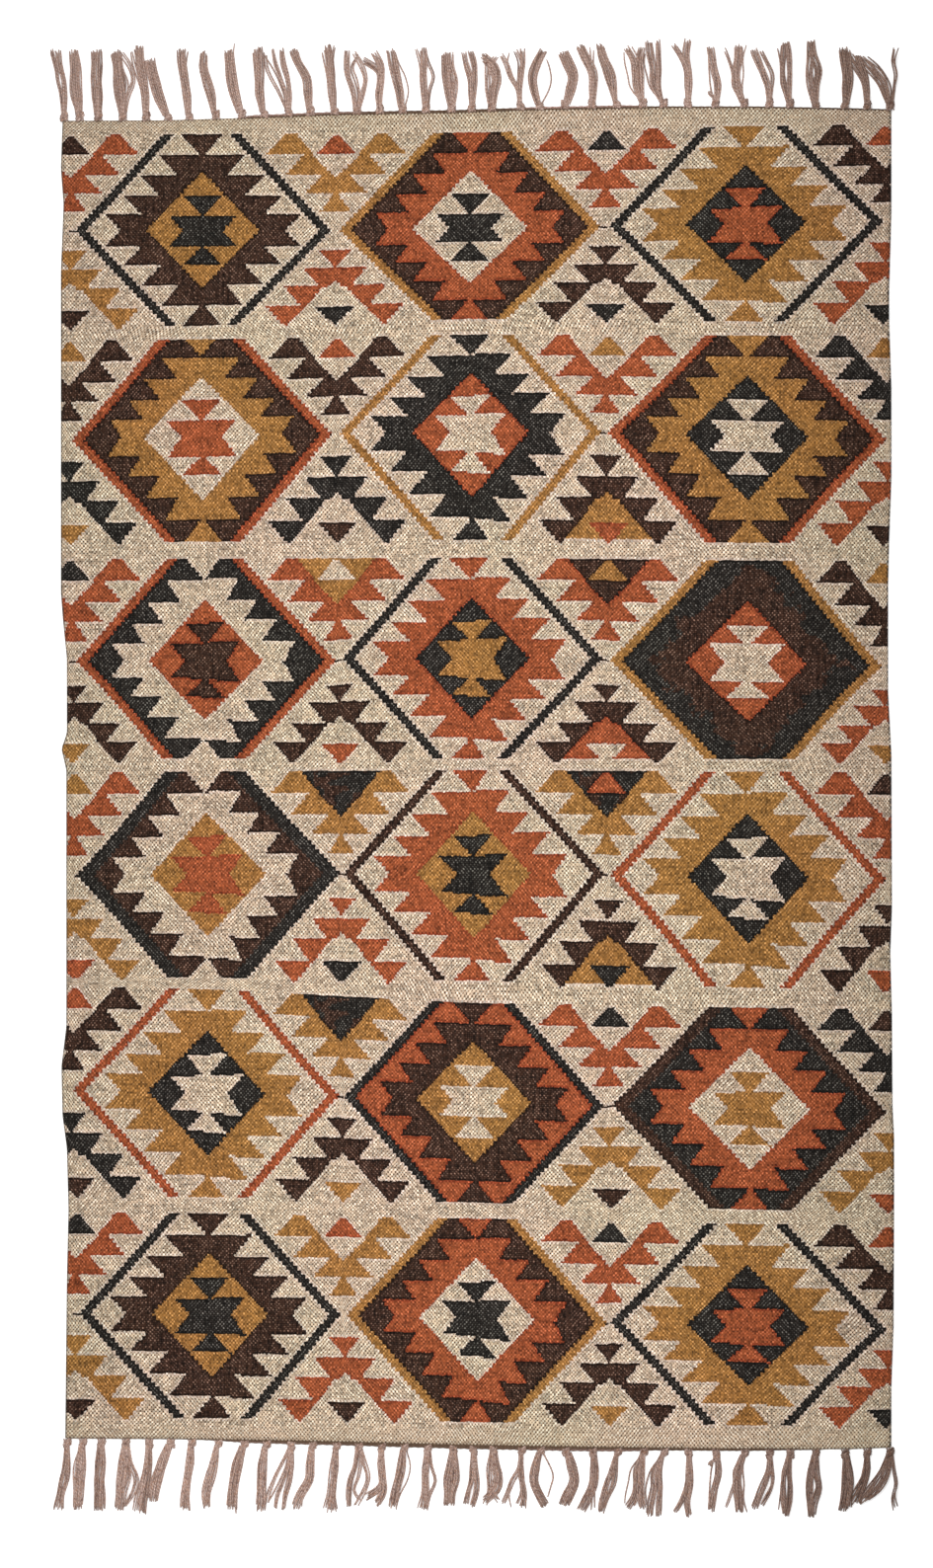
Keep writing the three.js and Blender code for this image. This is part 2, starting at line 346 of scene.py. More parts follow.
def gapYarn(across, along, yarns, triangles):
    arms, small, large = yarns
    x, d = abs(across), abs(along)
    for t in triangles:
        yarn = {"arms": arms, "small": small, "large": large}[t["part"]]
        if yarn == "." or not min(t["wide"], t["narrow"]) <= d <= max(t["wide"], t["narrow"]):
            continue
        share = abs(d - t["wide"]) / abs(t["narrow"] - t["wide"])
        aside = t["aside"] - t.get("lean", 0) * share
        if abs(x - aside) > t["half"] + (t["tip"] - t["half"]) * share:
            continue
        if "notch" in t and x < (d - t["notch"]) * chart["notchSlope"]:
            continue
        dark = t["part"] == "large" and yarn == "K"
        if dark and share < darkPatches["to"] and x < darkPatches["half"]:
            return patchy(across * 2 + 30, along * 2)
        return yarn
    return None


def yarnAt(column, row):
    # The yarn at a point of the chart
    reach = chart["halfHeight"] + chart["gapReach"]
    for top, look, motifs in zip(chart["rowTops"], medallionRows, gapMotifs):
        along = top + chart["halfHeight"] - row
        if abs(along) > reach:
            continue
        if abs(along) <= chart["halfHeight"]:
            for centre, medallion in zip(chart["medallionColumns"], look):
                yarn = medallionYarn(column - centre, along, medallion)
                if yarn:
                    return yarn
        half, triangles = ("upper", upperTriangles) if along > 0 else ("lower", lowerTriangles)
        along += motifs["drop"] if along < 0 else 0
        for centre, yarns in zip(chart["gapColumns"], motifs[half]):
            if abs(column - centre) < chart["gapHalf"]:
                yarn = gapYarn(column - centre, along, yarns, triangles)
                if yarn:
                    return yarn
    return "C"


# Colours
light = {
    "sky": 0.5,
    "panel": {"size": (1.5, 3.0), "at": (-0.07, -0.08, 0.35), "power": 12.2},
    "sun": 1.06,
    "sunTurn": (math.radians(-42), 0, math.radians(35)),
    "sunSoft": 25,  # degrees that the sun is wide
}
exposure = 1.5  # how much brighter than its own colour a surface comes out under this light
brightest = 0.95  # no yarn gives back more of the light than this


def asSeen(red, green, blue):
    # An 8-bit colour as the finished picture shows it, as a linear base colour
    def linear(value):
        value /= 255
        return value / 12.92 if value <= 0.04045 else ((value + 0.055) / 1.055) ** 2.4

    return [min(brightest, linear(value) / exposure) for value in (red, green, blue)] + [1]


# Cream, rust, ochre, brown and charcoal. Top is a pick's crown, lighter as painted highlight, side its
# flanks, darker as painted shade, warp what shows of the warp between two picks, darkened in cream,
# rust and ochre by painted shade where it sinks between them, dots how much of that shows, lines how
# much of the warps' own run shows through, and uneven how much the yarn varies.
flatYarns = rowsOf(
    "yarn top side warp dots lines uneven",
    ("C", (255, 249, 230), (214, 188, 160), (66, 41, 28), 1.0, 0.12, 1.05),
    ("R", (212, 121, 84), (160, 82, 48), (88, 34, 16), 0.5, 0.1, 1.05),
    ("O", (218, 163, 103), (162, 113, 58), (80, 48, 20), 0.55, 0.1, 1.05),
    ("B", (132, 104, 90), (44, 24, 14), (112, 84, 72), 0.22, 0.4, 1.6),
    ("K", (116, 112, 106), (23, 18, 15), (94, 86, 78), 0.17, 0.15, 1.4),
)
# The same yarns where a pick turns back beside another yarn and stands a little proud: painted highlight
# makes cream lighter there and painted shade makes the other yarns darker
yarnsLitAndShadedAtTurns = rowsOf(
    "yarn top side warp dots lines uneven",
    ("C", (255, 249, 236), (222, 198, 178), (104, 74, 56), 0.7, 0.0, 0.85),
    ("R", (206, 112, 78), (145, 64, 37), (84, 32, 16), 0.45, 0.0, 1.1),
    ("O", (218, 170, 113), (158, 109, 57), (84, 50, 22), 0.5, 0.0, 1.1),
    ("B", (76, 54, 43), (28, 15, 9), (58, 40, 33), 0.3, 0.1, 1.5),
    ("K", (62, 58, 54), (16, 12, 10), (50, 45, 40), 0.3, 0.0, 1.5),
)
yarnOrder = [look["yarn"] for look in flatYarns]
yarnLooks = flatYarns + yarnsLitAndShadedAtTurns
quarters = ["yarnUpperLeft", "yarnUpperRight", "yarnLowerLeft", "yarnLowerRight"]


class Tree:
    # A few lines that keep the node set-ups short
    def __init__(self, name):
        self.material = bpy.data.materials.new(name)
        self.material.use_nodes = True
        self.nodes = self.material.node_tree.nodes
        self.links = self.material.node_tree.links
        self.shader = self.nodes["Principled BSDF"]

    def constants(self, values):
        for name, value in values.items():
            self.shader.inputs[name].default_value = value

    def put(self, socket, value):
        if isinstance(value, bpy.types.NodeSocket):
            self.links.new(value, socket)
        elif value is not None:
            socket.default_value = value

    def add(self, kind, inputs=(), **settings):
        node = self.nodes.new(kind)
        for key, value in settings.items():
            setattr(node, key, value)
        for key, value in dict(inputs).items():
            self.put(node.inputs[key], value)
        return node

    def math(self, operation, first, second=None, clamp=False):
        node = self.add("ShaderNodeMath", {0: first, 1: second}, operation=operation)
        node.use_clamp = clamp
        return node.outputs[0]

    def between(self, share, first, second):
        return self.add("ShaderNodeMix", {0: share, 2: first, 3: second}).outputs[0]

    def vector(self, operation, first, second):
        return self.add("ShaderNodeVectorMath", {0: first, 1: second}, operation=operation).outputs[0]

    def noise(self, vector, scale, detail=2.0, rough=0.5):
        wanted = {"Vector": vector, "Scale": scale, "Detail": detail, "Roughness": rough}
        return self.add("ShaderNodeTexNoise", wanted)

    def total(self, first, *others):
        for other in others:
            first = self.math("ADD", first, other)
        return first

    def times(self, first, *others):
        for other in others:
            first = self.math("MULTIPLY", first, other)
        return first

    def split(self, vector):
        return self.add("ShaderNodeSeparateXYZ", {0: vector}).outputs

    def uv(self, layer):
        return self.add("ShaderNodeUVMap", uv_map=layer).outputs[0]

    def attribute(self, name):
        return self.add("ShaderNodeAttribute", attribute_name=name).outputs["Fac"]

    def place(self):
        return self.add("ShaderNodeTexCoord").outputs["Object"]

    def mix(self, share, first, second, blend="MIX"):
        node = self.add("ShaderNodeMix", {0: share, 6: first, 7: second}, data_type="RGBA")
        node.blend_type = blend
        return node.outputs[2]

    def dyed(self, colour, tint):
        return self.mix(1.0, colour, tint, "MULTIPLY")

    def smooth(self, value, low, high, start=0.0, end=1.0):
        node = self.add("ShaderNodeMapRange", {0: value, 1: low, 2: high, 3: start, 4: end})
        node.interpolation_type = "SMOOTHSTEP"
        return node.outputs[0]

    def uneven(self, place, scale, low, high, detail=2.0):
        # A noise that swings between two values
        stretched = self.vector("MULTIPLY", place, scale)
        return self.smooth(self.noise(stretched, 1.0, detail, 0.6).outputs[0], 0.3, 0.7, low, high)

    def grey(self, value):
        return self.add("ShaderNodeCombineColor", {0: value, 1: value, 2: value}).outputs[0]

    def pick(self, value, colours):
        # One flat colour for each whole number, through a stepped ramp
        ramp = self.add("ShaderNodeValToRGB", {0: value})
        stops = ramp.color_ramp
        stops.interpolation = "CONSTANT"
        for i, colour in enumerate(colours):
            stop = stops.elements[i] if i < 2 else stops.elements.new(i / len(colours))
            stop.position = i / len(colours)
            stop.color = colour
        return ramp.outputs[0]


weaveLook = {
    "sway": 0.5,  # how far the threads wander, in threads
    "lean": 0.4,  # how far the crossings lean one way or the other
    "ragged": 0.35,  # how uneven a colour change is, in steps
    "beads": 0.42,  # how much lighter or darker one bead is than the next
    "fibres": 0.2,
    "picks": 0.15,
    "warps": 0.15,
    "blotches": 0.09,
    "relief": 0.0011,
    "endBand": 1.188,  # beyond this the plain end bands are woven more evenly, by the next number
    "endEven": 0.55,
    "darkest": 0.15,  # of its own colour, the least that a dark bead keeps
    "rosy": (1.03, 0.985, 0.985, 1),  # two casts that the whole cloth swings between
    "straw": (0.985, 1.005, 0.955, 1),
    # Both selvedges' dark lines are partly an edge warp and partly painted shade of the cloth's side edge
    "rightEdgeWarpAndShade": {"over": (1.4, 0.9), "colour": (52, 44, 38), "shown": 0.85},  # over in warps
    "leftEdgeWarpAndShade": {"over": (0.9, 0.5), "colour": (96, 88, 76), "shown": 0.6},
}


def weaveMaterial():
    tree = Tree("kilimWeave")
    look = weaveLook
    threads = tree.uv("weave")
    wander = tree.noise(tree.vector("MULTIPLY", threads, (0.3, 0.3, 1)), 1.0, 1.5).outputs[1]
    shift = tree.vector("SUBTRACT", wander, (0.5, 0.5, 0.5))
    shift = tree.vector("MULTIPLY", shift, (look["sway"], look["sway"], 0))
    loose = tree.vector("ADD", threads, shift)
    parts = tree.split(loose)
    angles = [tree.times(parts[i], math.pi) for i in (0, 1)]
    crossing = tree.times(*[tree.math("SINE", angle) for angle in angles])
    slant = tree.times(*[tree.math("COSINE", angle) for angle in angles])
    lean = tree.uneven(threads, (0.04, 0.05, 1), -look["lean"], look["lean"])
    place = tree.place()
    along = tree.math("ABSOLUTE", tree.split(place)[1])
    even = tree.smooth(along, look["endBand"], look["endBand"] + 0.01, 1.0, look["endEven"])
    # 1 on a pick's crown and -1 where a warp crosses
    over = tree.total(crossing, tree.times(slant, lean))
    bead = tree.add("ShaderNodeTexWhiteNoise", {0: tree.vector("FLOOR", loose, None)}, noise_dimensions="2D")
    chance = tree.add("ShaderNodeSeparateColor", {0: bead.outputs[1]}).outputs

    # Which quarter of its step a point lies in, and the yarn there
    inStep = tree.split(tree.uv("step"))
    half = look["ragged"] / 2
    off = [tree.uneven(threads, scale, -half, half) for scale in ((0.9, 0.9, 1), (0.8, 1.1, 1))]
    inside = [tree.total(tree.math("FRACT", inStep[i]), off[i]) for i in (0, 1)]
    right, lower = [tree.math("GREATER_THAN", value, 0.5) for value in inside]
    corner = [tree.attribute(name) for name in quarters]
    upperYarn = tree.between(right, corner[0], corner[1])
    lowerYarn = tree.between(right, corner[2], corner[3])
    yarn = tree.between(lower, upperYarn, lowerYarn)
    spot = tree.math("DIVIDE", tree.math("ADD", yarn, 0.5), len(yarnLooks))
    colours = {}
    for part in ("top", "side", "warp"):
        colours[part] = tree.pick(spot, [asSeen(*kind[part]) for kind in yarnLooks])
    shares = tree.pick(spot, [[kind["dots"], kind["lines"], kind["uneven"] / 2, 1] for kind in yarnLooks])
    shares = tree.add("ShaderNodeSeparateColor", {0: shares}).outputs

    # Some warps show more than others along their whole run, and each crossing has its own chance
    warpRun = tree.uneven(threads, (0.9, 0.03, 1), 0, 1)
    pickRun = tree.uneven(threads, (0.03, 0.9, 1), 0, 1)
    fibre = tree.uneven(threads, (1.6, 5.5, 1), 0, 1, 3.0)
    shown = tree.times(shares[0], tree.total(tree.times(warpRun, 0.45), tree.times(chance[0], 0.4), 0.4))
    dot = tree.math("MULTIPLY", tree.smooth(over, -0.15, -0.7), shown, clamp=True)
    line = tree.math("ABSOLUTE", tree.math("SINE", angles[0]))
    line = tree.times(tree.smooth(line, 0.55, 0.05), shares[1], tree.smooth(warpRun, 0.4, 0.9))
    # Painted highlight and shade: each pick's crown takes the lighter top colour, its flanks the darker side
    # colour, and some beads are lit up more than others
    lit = tree.smooth(chance[1], 0.1, 0.9, 0.2, 1.2)
    crown = tree.math("MULTIPLY", tree.smooth(over, 0.0, 0.95), lit, clamp=True)
    weft = tree.mix(crown, colours["side"], colours["top"])

    # Beads, fibres, whole picks and whole warps that came out lighter or darker, and slow blotches
    def swing(name, value):
        return tree.times(tree.math("SUBTRACT", value, 0.5), 4 * look[name])

    blotch = tree.uneven(threads, (0.1, 0.1, 1), 0, 1, 4.0)
    varied = {
        "beads": chance[2], "fibres": fibre, "picks": pickRun, "warps": warpRun, "blotches": blotch,
    }
    tone = tree.total(*[swing(name, value) for name, value in varied.items()])
    tone = tree.total(tree.times(tone, shares[2], even), 1)
    toned = tree.dyed(weft, tree.grey(tree.math("MAXIMUM", tone, look["darkest"])))
    cast = tree.mix(tree.uneven(place, (3.2, 3.2, 3.2), 0, 1), look["rosy"], look["straw"])
    # The warp shows at the crossings and along some runs in the warp colour, which in cream, rust and ochre
    # is darkened by painted shade
    cloth = tree.mix(tree.math("MAXIMUM", dot, line), tree.dyed(toned, cast), colours["warp"])

    # A dark line runs along each selvedge, partly an edge warp that the wefts are bound over and partly
    # painted shade of the cloth's side edge: at the right dark and broken into stitches, at the left thin
    # and grey
    across = tree.split(threads)[0]
    darkWarpAndShade, greyWarpAndShade = look["rightEdgeWarpAndShade"], look["leftEdgeWarpAndShade"]
    rightBand = tree.smooth(across, *[chart["warps"] - over for over in darkWarpAndShade["over"]])
    leftBand = tree.smooth(across, *greyWarpAndShade["over"])
    stitched = tree.math("GREATER_THAN", tree.math("SINE", tree.times(parts[1], 1.9)), -0.35)
    rightShown = tree.times(rightBand, tree.smooth(pickRun, 0.2, 0.6), stitched, darkWarpAndShade["shown"])
    cloth = tree.mix(rightShown, cloth, asSeen(*darkWarpAndShade["colour"]))
    leftShown = tree.times(leftBand, greyWarpAndShade["shown"])
    cloth = tree.mix(leftShown, cloth, asSeen(*greyWarpAndShade["colour"]))
    tree.put(tree.shader.inputs["Base Color"], cloth)

    tree.put(tree.shader.inputs["Roughness"], tree.smooth(fibre, 0, 1, 0.85, 0.98))
    height = tree.total(tree.times(over, 0.5), tree.times(fibre, 0.3))
    bump = tree.add("ShaderNodeBump", {"Strength": 0.6, "Distance": look["relief"], "Height": height})
    tree.put(tree.shader.inputs["Normal"], bump.outputs[0])
    tree.constants({"Specular IOR Level": 0.08, "Sheen Weight": 0.02, "Sheen Roughness": 0.6})
    return tree.material


# Flecks of tan, pale and dark wool spun into the fringe's yarn, long in millimetres
yarnFlecks = rowsOf(
    "long from tint",
    (4.6, 0.5, (0.97, 0.83, 0.72)),
    (3.4, 0.52, (1.3, 1.34, 1.36)),
    (5.4, 0.53, (0.62, 0.56, 0.56)),
)

# Painted shade on the fringes' yarn: it darkens as the light falls off across the rug, over so many metres,
# and towards the right edge it turns darker and browner
paintedShadeOver = 1.5
rightFringeShade = {"from": 0.46, "to": 0.74, "tint": (0.66, 0.63, 0.6, 1)}


def yarnMaterial(name, look):
    tree = Tree(name)

    def tinted(share, colour, tint):
        return tree.mix(share, colour, tree.dyed(colour, tint))

    strand = tree.uv("strand")
    along, around = tree.split(strand)[:2]
    twisted = tree.math("DIVIDE", along, look["twist"] * mm)
    loose = tree.times(tree.noise(strand, 190.0, 2.0).outputs[0], 1.8)
    turn = tree.times(tree.total(tree.times(around, 2), twisted, loose), math.pi)
    ply = tree.math("ABSOLUTE", tree.math("SINE", turn))
    fibre = tree.noise(tree.vector("MULTIPLY", strand, (900, 5, 1)), 1.0, 3.0, 0.7).outputs[0]
    # Painted shade in the creases of the twist and painted highlight on the crowns of the plies
    base = tree.mix(tree.smooth(ply, 0.1, 0.8), asSeen(*look["crease"]), asSeen(*look["crown"]))
    base = tree.mix(tree.times(tree.attribute("tone"), look["stained"]), base, asSeen(*look["stain"]))
    for fleck in yarnFlecks:
        stretched = tree.vector("MULTIPLY", strand, (1 / (fleck["long"] * mm), 1.3, 1))
        spots = tree.noise(stretched, 1.0, 1.5).outputs[0]
        tint = [value * look["flecked"] + 1 - look["flecked"] for value in fleck["tint"]] + [1]
        base = tinted(tree.smooth(spots, fleck["from"], fleck["from"] + 0.13), base, tint)

    across = tree.split(tree.place())[0]
    # Painted shade: darker towards the right as the light falls off, and darker and browner still near the
    # right edge
    base = tinted(tree.smooth(across, look["paintedShadeFrom"], look["paintedShadeFrom"] + paintedShadeOver), base, look["paintedShade"])
    base = tinted(tree.smooth(across, rightFringeShade["from"], rightFringeShade["to"]), base, rightFringeShade["tint"])
    base = tree.dyed(base, tree.grey(tree.smooth(fibre, 0.25, 0.75, 0.78, 1.22)))
    tree.put(tree.shader.inputs["Base Color"], base)
    height = tree.total(ply, tree.times(fibre, 0.5))
    bump = tree.add("ShaderNodeBump", {"Strength": 0.6, "Distance": 0.0007, "Height": height})
    tree.put(tree.shader.inputs["Normal"], bump.outputs[0])
    tree.put(tree.shader.inputs["Roughness"], tree.smooth(fibre, 0.2, 0.8, 0.78, 0.95))
    tree.constants({"Specular IOR Level": 0.15, "Sheen Weight": 0.1, "Sheen Roughness": 0.5})
    return tree.material


def newPiece(name, bm, material):
    mesh = meshOf(name, bm)
    for polygon in mesh.polygons:
        polygon.use_smooth = True
    mesh.materials.append(material)
    piece = linked(name, mesh)
    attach(piece, "root")
    return piece


# The cloth
clothLook = {
    "top": 4.6,  # height of the upper face above the floor
    "under": 0.25,
    "edgeDrop": 1.2,  # the edges round off by this much, above and below
    "cockle": 0.35,  # how far the face rises and falls where the tension changed
    "cockleSize": (130, 90),
    "jitter": 0.12,  # unevenness of the steps, as a share of one
    "dovetail": 0.1,  # how far a pick turns back before or after the next, in steps
    "underColumns": 144,
    "underRows": 206,
}

# Where the faces lie on the sheet that their colours are baked to: corner and size
bakeSheet = {"upper": (0.004, 0.004, 0.616, 0.992), "under": (0.63, 0.42, 0.36, 0.57)}
rimOnSheet = {"corner": (0.64, 0.02), "warps": 1400, "picks": 1800}  # how many threads fill it


def stepsOf(columns, rows):
    # The yarn of each quarter, one warp by one pick, of every step of a face. A number above
    # the yarns' own is the same yarn where it turns back beside another, with painted highlight on cream and
    # painted shade on the other yarns.
    wide, tall = chart["columns"] / columns / 2, chart["rows"] / rows / 2
    picks = []
    sway = clothLook["dovetail"]
    for r in range(2 * rows):
        aside = sway if r % 2 else -sway
        picks.append([yarnAt((c + 0.5) * wide + aside, (r + 0.5) * tall) for c in range(2 * columns)])

    def numbered(c, r):
        yarn = picks[r][c]
        beside = [picks[r][max(0, c - 1)], picks[r][min(2 * columns - 1, c + 1)]]
        beside += [picks[max(0, r - 1)][c], picks[min(2 * rows - 1, r + 1)][c]]
        turn = any(other != yarn and not (other in "BK" and yarn in "BK") for other in beside)
        return yarnOrder.index(yarn) + (len(yarnOrder) if turn else 0)

    def stepAt(c, r):
        return [numbered(2 * c + i, 2 * r + j) for j in (0, 1) for i in (0, 1)]

    return [[stepAt(c, r) for c in range(columns)] for r in range(rows)]


def weaveFace(bm, columns, rows, upper):
    # Lays out one face of the cloth as a grid, moved to where the chart's steps lie
    steps = stepsOf(columns, rows)
    wide, tall = chart["columns"] / columns, chart["rows"] / rows
    yarnLayers = [bm.faces.layers.float[name] for name in quarters]
    weave, step, bake = [bm.loops.layers.uv[name] for name in ("weave", "step", "OFBake")]
    verts = bmesh.ops.create_grid(bm, x_segments=columns, y_segments=rows, size=1)["verts"]
    shuffle = random.Random(11 if upper else 12)
    cockle, (cockleX, cockleY) = clothLook["cockle"], clothLook["cockleSize"]
    left, low, sheetWide, sheetTall = bakeSheet["upper" if upper else "under"]
    counted = {}
    for vert in verts:
        c = round((vert.co.x + 1) / 2 * columns)
        r = round((1 - vert.co.y) / 2 * rows)
        inside = 0 < c < columns and 0 < r < rows
        loose = clothLook["jitter"] if inside else 0
        column = (c + shuffle.uniform(-loose, loose)) * wide
        row = (r + shuffle.uniform(-loose, loose)) * tall
        x, y = placeOnCloth(column, row)
        swell = noise.noise((x / cockleX, y / cockleY, 1.7)) * cockle
        drop = 0 if inside else clothLook["edgeDrop"]
        z = clothLook["top"] + swell - drop if upper else clothLook["under"] + drop
        vert.co = (x * mm, y * mm, z * mm)
        counted[vert] = (c, r)
    faces = list({face for vert in verts for face in vert.link_faces})
    for face in faces:
        face.smooth = True
        places = [counted[vert] for vert in face.verts]
        woven = steps[min(r for c, r in places)][min(c for c, r in places)]
        for layer, yarn in zip(yarnLayers, woven):
            face[layer] = yarn
        for loop in face.loops:
            c, r = counted[loop.vert]
            u, v = c / columns, 1 - r / rows
            loop[weave].uv = (chart["warps"] * c / columns, chart["picks"] * r / rows)
            loop[step].uv = (c, r)
            loop[bake].uv = (left + u * sheetWide, low + v * sheetTall)
    if not upper:
        bmesh.ops.reverse_faces(bm, faces=faces)


def coverRim(bm, faces):
    # The rim takes its yarns and its threads from the faces beside it
    yarnLayers = [bm.faces.layers.float[name] for name in quarters]
    weave, step, bake = [bm.loops.layers.uv[name] for name in ("weave", "step", "OFBake")]
    left, low = rimOnSheet["corner"]
    new = set(faces)
    for face in faces:
        face.smooth = True
        beside = [f for edge in face.edges for f in edge.link_faces if f not in new]
        beside = beside or [f for vert in face.verts for f in vert.link_faces if f not in new]
        for layer in yarnLayers:
            face[layer] = beside[0][layer]
        for loop in face.loops:
            source = next(other for other in loop.vert.link_loops if other.face not in new)
            along = source[weave].uv
            loop[weave].uv = along
            loop[step].uv = source[step].uv
            loop[bake].uv = (left + along.x / rimOnSheet["warps"], low + along.y / rimOnSheet["picks"])


def makeCloth():
    bm = bmesh.new()
    for name in quarters:
        bm.faces.layers.float.new(name)
    for name in ("weave", "step", "OFBake"):
        bm.loops.layers.uv.new(name)
    weaveFace(bm, chart["columns"], chart["rows"], True)
    weaveFace(bm, clothLook["underColumns"], clothLook["underRows"], False)
    print("cloth woven from its chart")
    rims = [edge for edge in bm.edges if edge.is_boundary]
    coverRim(bm, bmesh.ops.bridge_loops(bm, edges=rims)["faces"])
    bmesh.ops.recalc_face_normals(bm, faces=bm.faces)
    return newPiece("kilimCloth", bm, weaveMaterial())


cloth = makeCloth()
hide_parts("rug_body")
print("cloth made:", len(cloth.data.polygons), "faces")


# The fringes
# One row for each tassel, from left to right, the same at both ends: root is its place along the
# edge and reach its length with the knot. Each lock is a bundle that the tassel falls into: how many
# strands it has, how far to the right of the root its middle lies at a quarter, a half, three
# quarters and the end of its run, and what share of the tassel's length it runs.
tassels = rowsOf(
    "root reach locks",
    (-745, 133, [(4, -5, -11, -16, -24, 1), (5, 1, -1, -9, -11, 1), (1, -1, -3, -8, -18, 1)]),
    (-716, 132, [(9, -5, -9, -10, -11, 1), (3, 1, -1, -2, -6, 0.97), (1, -15, -18, -17, -15, 0.95)]),
    (-682, 133, [(12, -2, -4, -3, -4, 1)]),
    (-637, 132, [
        (5, -10, -13, -14, -19, 0.97), (7, -1, -5, -9, -11, 1), (2, 5, 7, -2, -5, 0.95),
        (3, 8, 19, 12, -7, 0.97),
    ]),
    (-594, 139, [(9, -2, -6, -11, -13, 1), (3, -5, -12, -21, -27, 0.95)]),
    (-554, 115, [(11, -15, -23, -30, -33, 1)]),
    (-515, 131, [(9, -4, -9, -13, -15, 1), (2, 0, -5, -8, -4, 1.02)]),
    (-466, 127, [(8, -11, -19, -25, -22, 1), (3, -5, -11, -19, -20, 0.96)]),
    (-418, 127, [(11, -13, -19, -22, -24, 1), (1, -9, -15, -18, -15, 1.12)]),
    (-377, 131, [(10, -8, -9, -9, -11, 1), (2, -14, -15, -16, -20, 0.9)]),
    (-332, 127, [
        (5, 1, -3, -11, -14, 1), (4, -5, -15, -25, -30, 1), (2, -17, -31, -41, -44, 0.93),
        (1, -9, -18, -32, -47, 0.9),
    ]),
    (-292, 124, [(10, -5, -8, -23, -34, 1), (2, -2, -6, -19, -23, 0.95)]),
    (-248, 130, [(7, -3, -6, -9, -13, 1), (3, -8, -11, -15, -21, 0.93), (2, -1, -2, -5, 1, 1)]),
    (-207, 121, [(6, -7, -16, -19, -18, 1), (2, 3, -2, -9, 5, 0.9), (3, 11, 16, 8, -7, 0.95)]),
    (-165, 114, [(8, -2, 1, -2, -32, 0.86), (8, -1, 2, 2, -12, 1)]),
    (-123, 119, [(10, -6, -12, -18, -23, 1), (1, 11, 5, -7, -14, 0.97)]),
    (-80, 121, [(8, -4, -5, -4, -6, 1), (2, 7, 13, 4, -2, 0.98), (2, -7, -9, -11, -18, 0.97)]),
    (-33, 111, [(5, -9, -13, -13, -15, 1), (5, -1, -5, -6, -8, 1), (6, 6, 6, 0, -2, 1)]),
    (4, 114, [(6, -2, -3, -10, -15, 0.96), (6, 4, 6, 4, -3, 1)]),
    (41, 108, [(10, 4, 9, 4, -18, 0.93), (3, -8, -8, -8, -16, 1), (3, 2, 5, -3, 11, 0.95)]),
    (94, 114, [
        (6, -2, 0, 4, 3, 1), (3, -4, -1, -1, -11, 0.98), (3, -5, -17, -26, -38, 0.92),
        (1, -6, -20, -24, -19, 0.97),
    ]),
    (129, 110, [(9, -11, -13, -5, 8, 1), (1, 16, 22, 18, 11, 0.85)]),
    (175, 108, [(11, 11, 15, 6, -4, 1), (1, 6, 8, -3, -13, 0.95)]),
    (225, 117, [(10, 2, 1, -11, -24, 1), (1, 6, 4, 2, 3, 0.95), (1, 1, -1, -2, -5, 1)]),
    (271, 119, [(6, -12, -21, -29, -33, 1), (6, -5, -9, -21, -31, 1)]),
    (319, 112, [
        (7, -13, -14, -18, -32, 1), (8, -5, -6, -7, -2, 1), (1, -23, -29, -33, -35, 0.9),
        (1, -5, -5, -10, -22, 1),
    ]),
    (357, 126, [(8, -18, -20, -25, -28, 1), (5, -10, -8, -10, -12, 1), (1, -25, -32, -36, -34, 0.8)]),
    (401, 127, [(7, 2, 1, -3, 1, 1), (5, -1, -2, -12, -27, 0.92)]),
    (452, 115, [(8, 4, -1, -6, -10, 1), (1, -9, -12, -12, -11, 0.97), (4, -3, -7, -11, -13, 0.16)]),
    (505, 117, [(9, -13, -15, -11, -10, 1), (2, -20, -20, -28, -38, 0.93), (1, -4, -2, -2, 4, 1)]),
    (551, 109, [(4, -5, -14, -24, -34, 1), (4, -1, -8, -17, -27, 1.02), (4, 4, 5, -4, -17, 0.97)]),
    (589, 124, [(5, -11, -14, -13, -11, 0.98), (6, -2, -1, -2, -7, 1), (1, -15, -17, -19, -23, 0.92)]),
    (636, 126, [(8, -10, -12, -10, -9, 1), (8, 1, 5, -4, -7, 1)]),
    (690, 114, [(9, 2, 2, -1, -5, 1), (7, 7, 10, 7, 5, 0.95)]),
    (731, 101, [(8, -2, -8, -20, -33, 1), (7, -1, -4, -12, -18, 1)]),
    (773, 116, [
        (3, -13, -25, -42, -62, 0.83), (3, -8, -17, -33, -57, 0.84), (3, -2, -8, -23, -49, 0.83),
        (2, 7, 10, 4, 8, 1), (1, 8, 12, 8, 16, 0.98),
    ]),
)

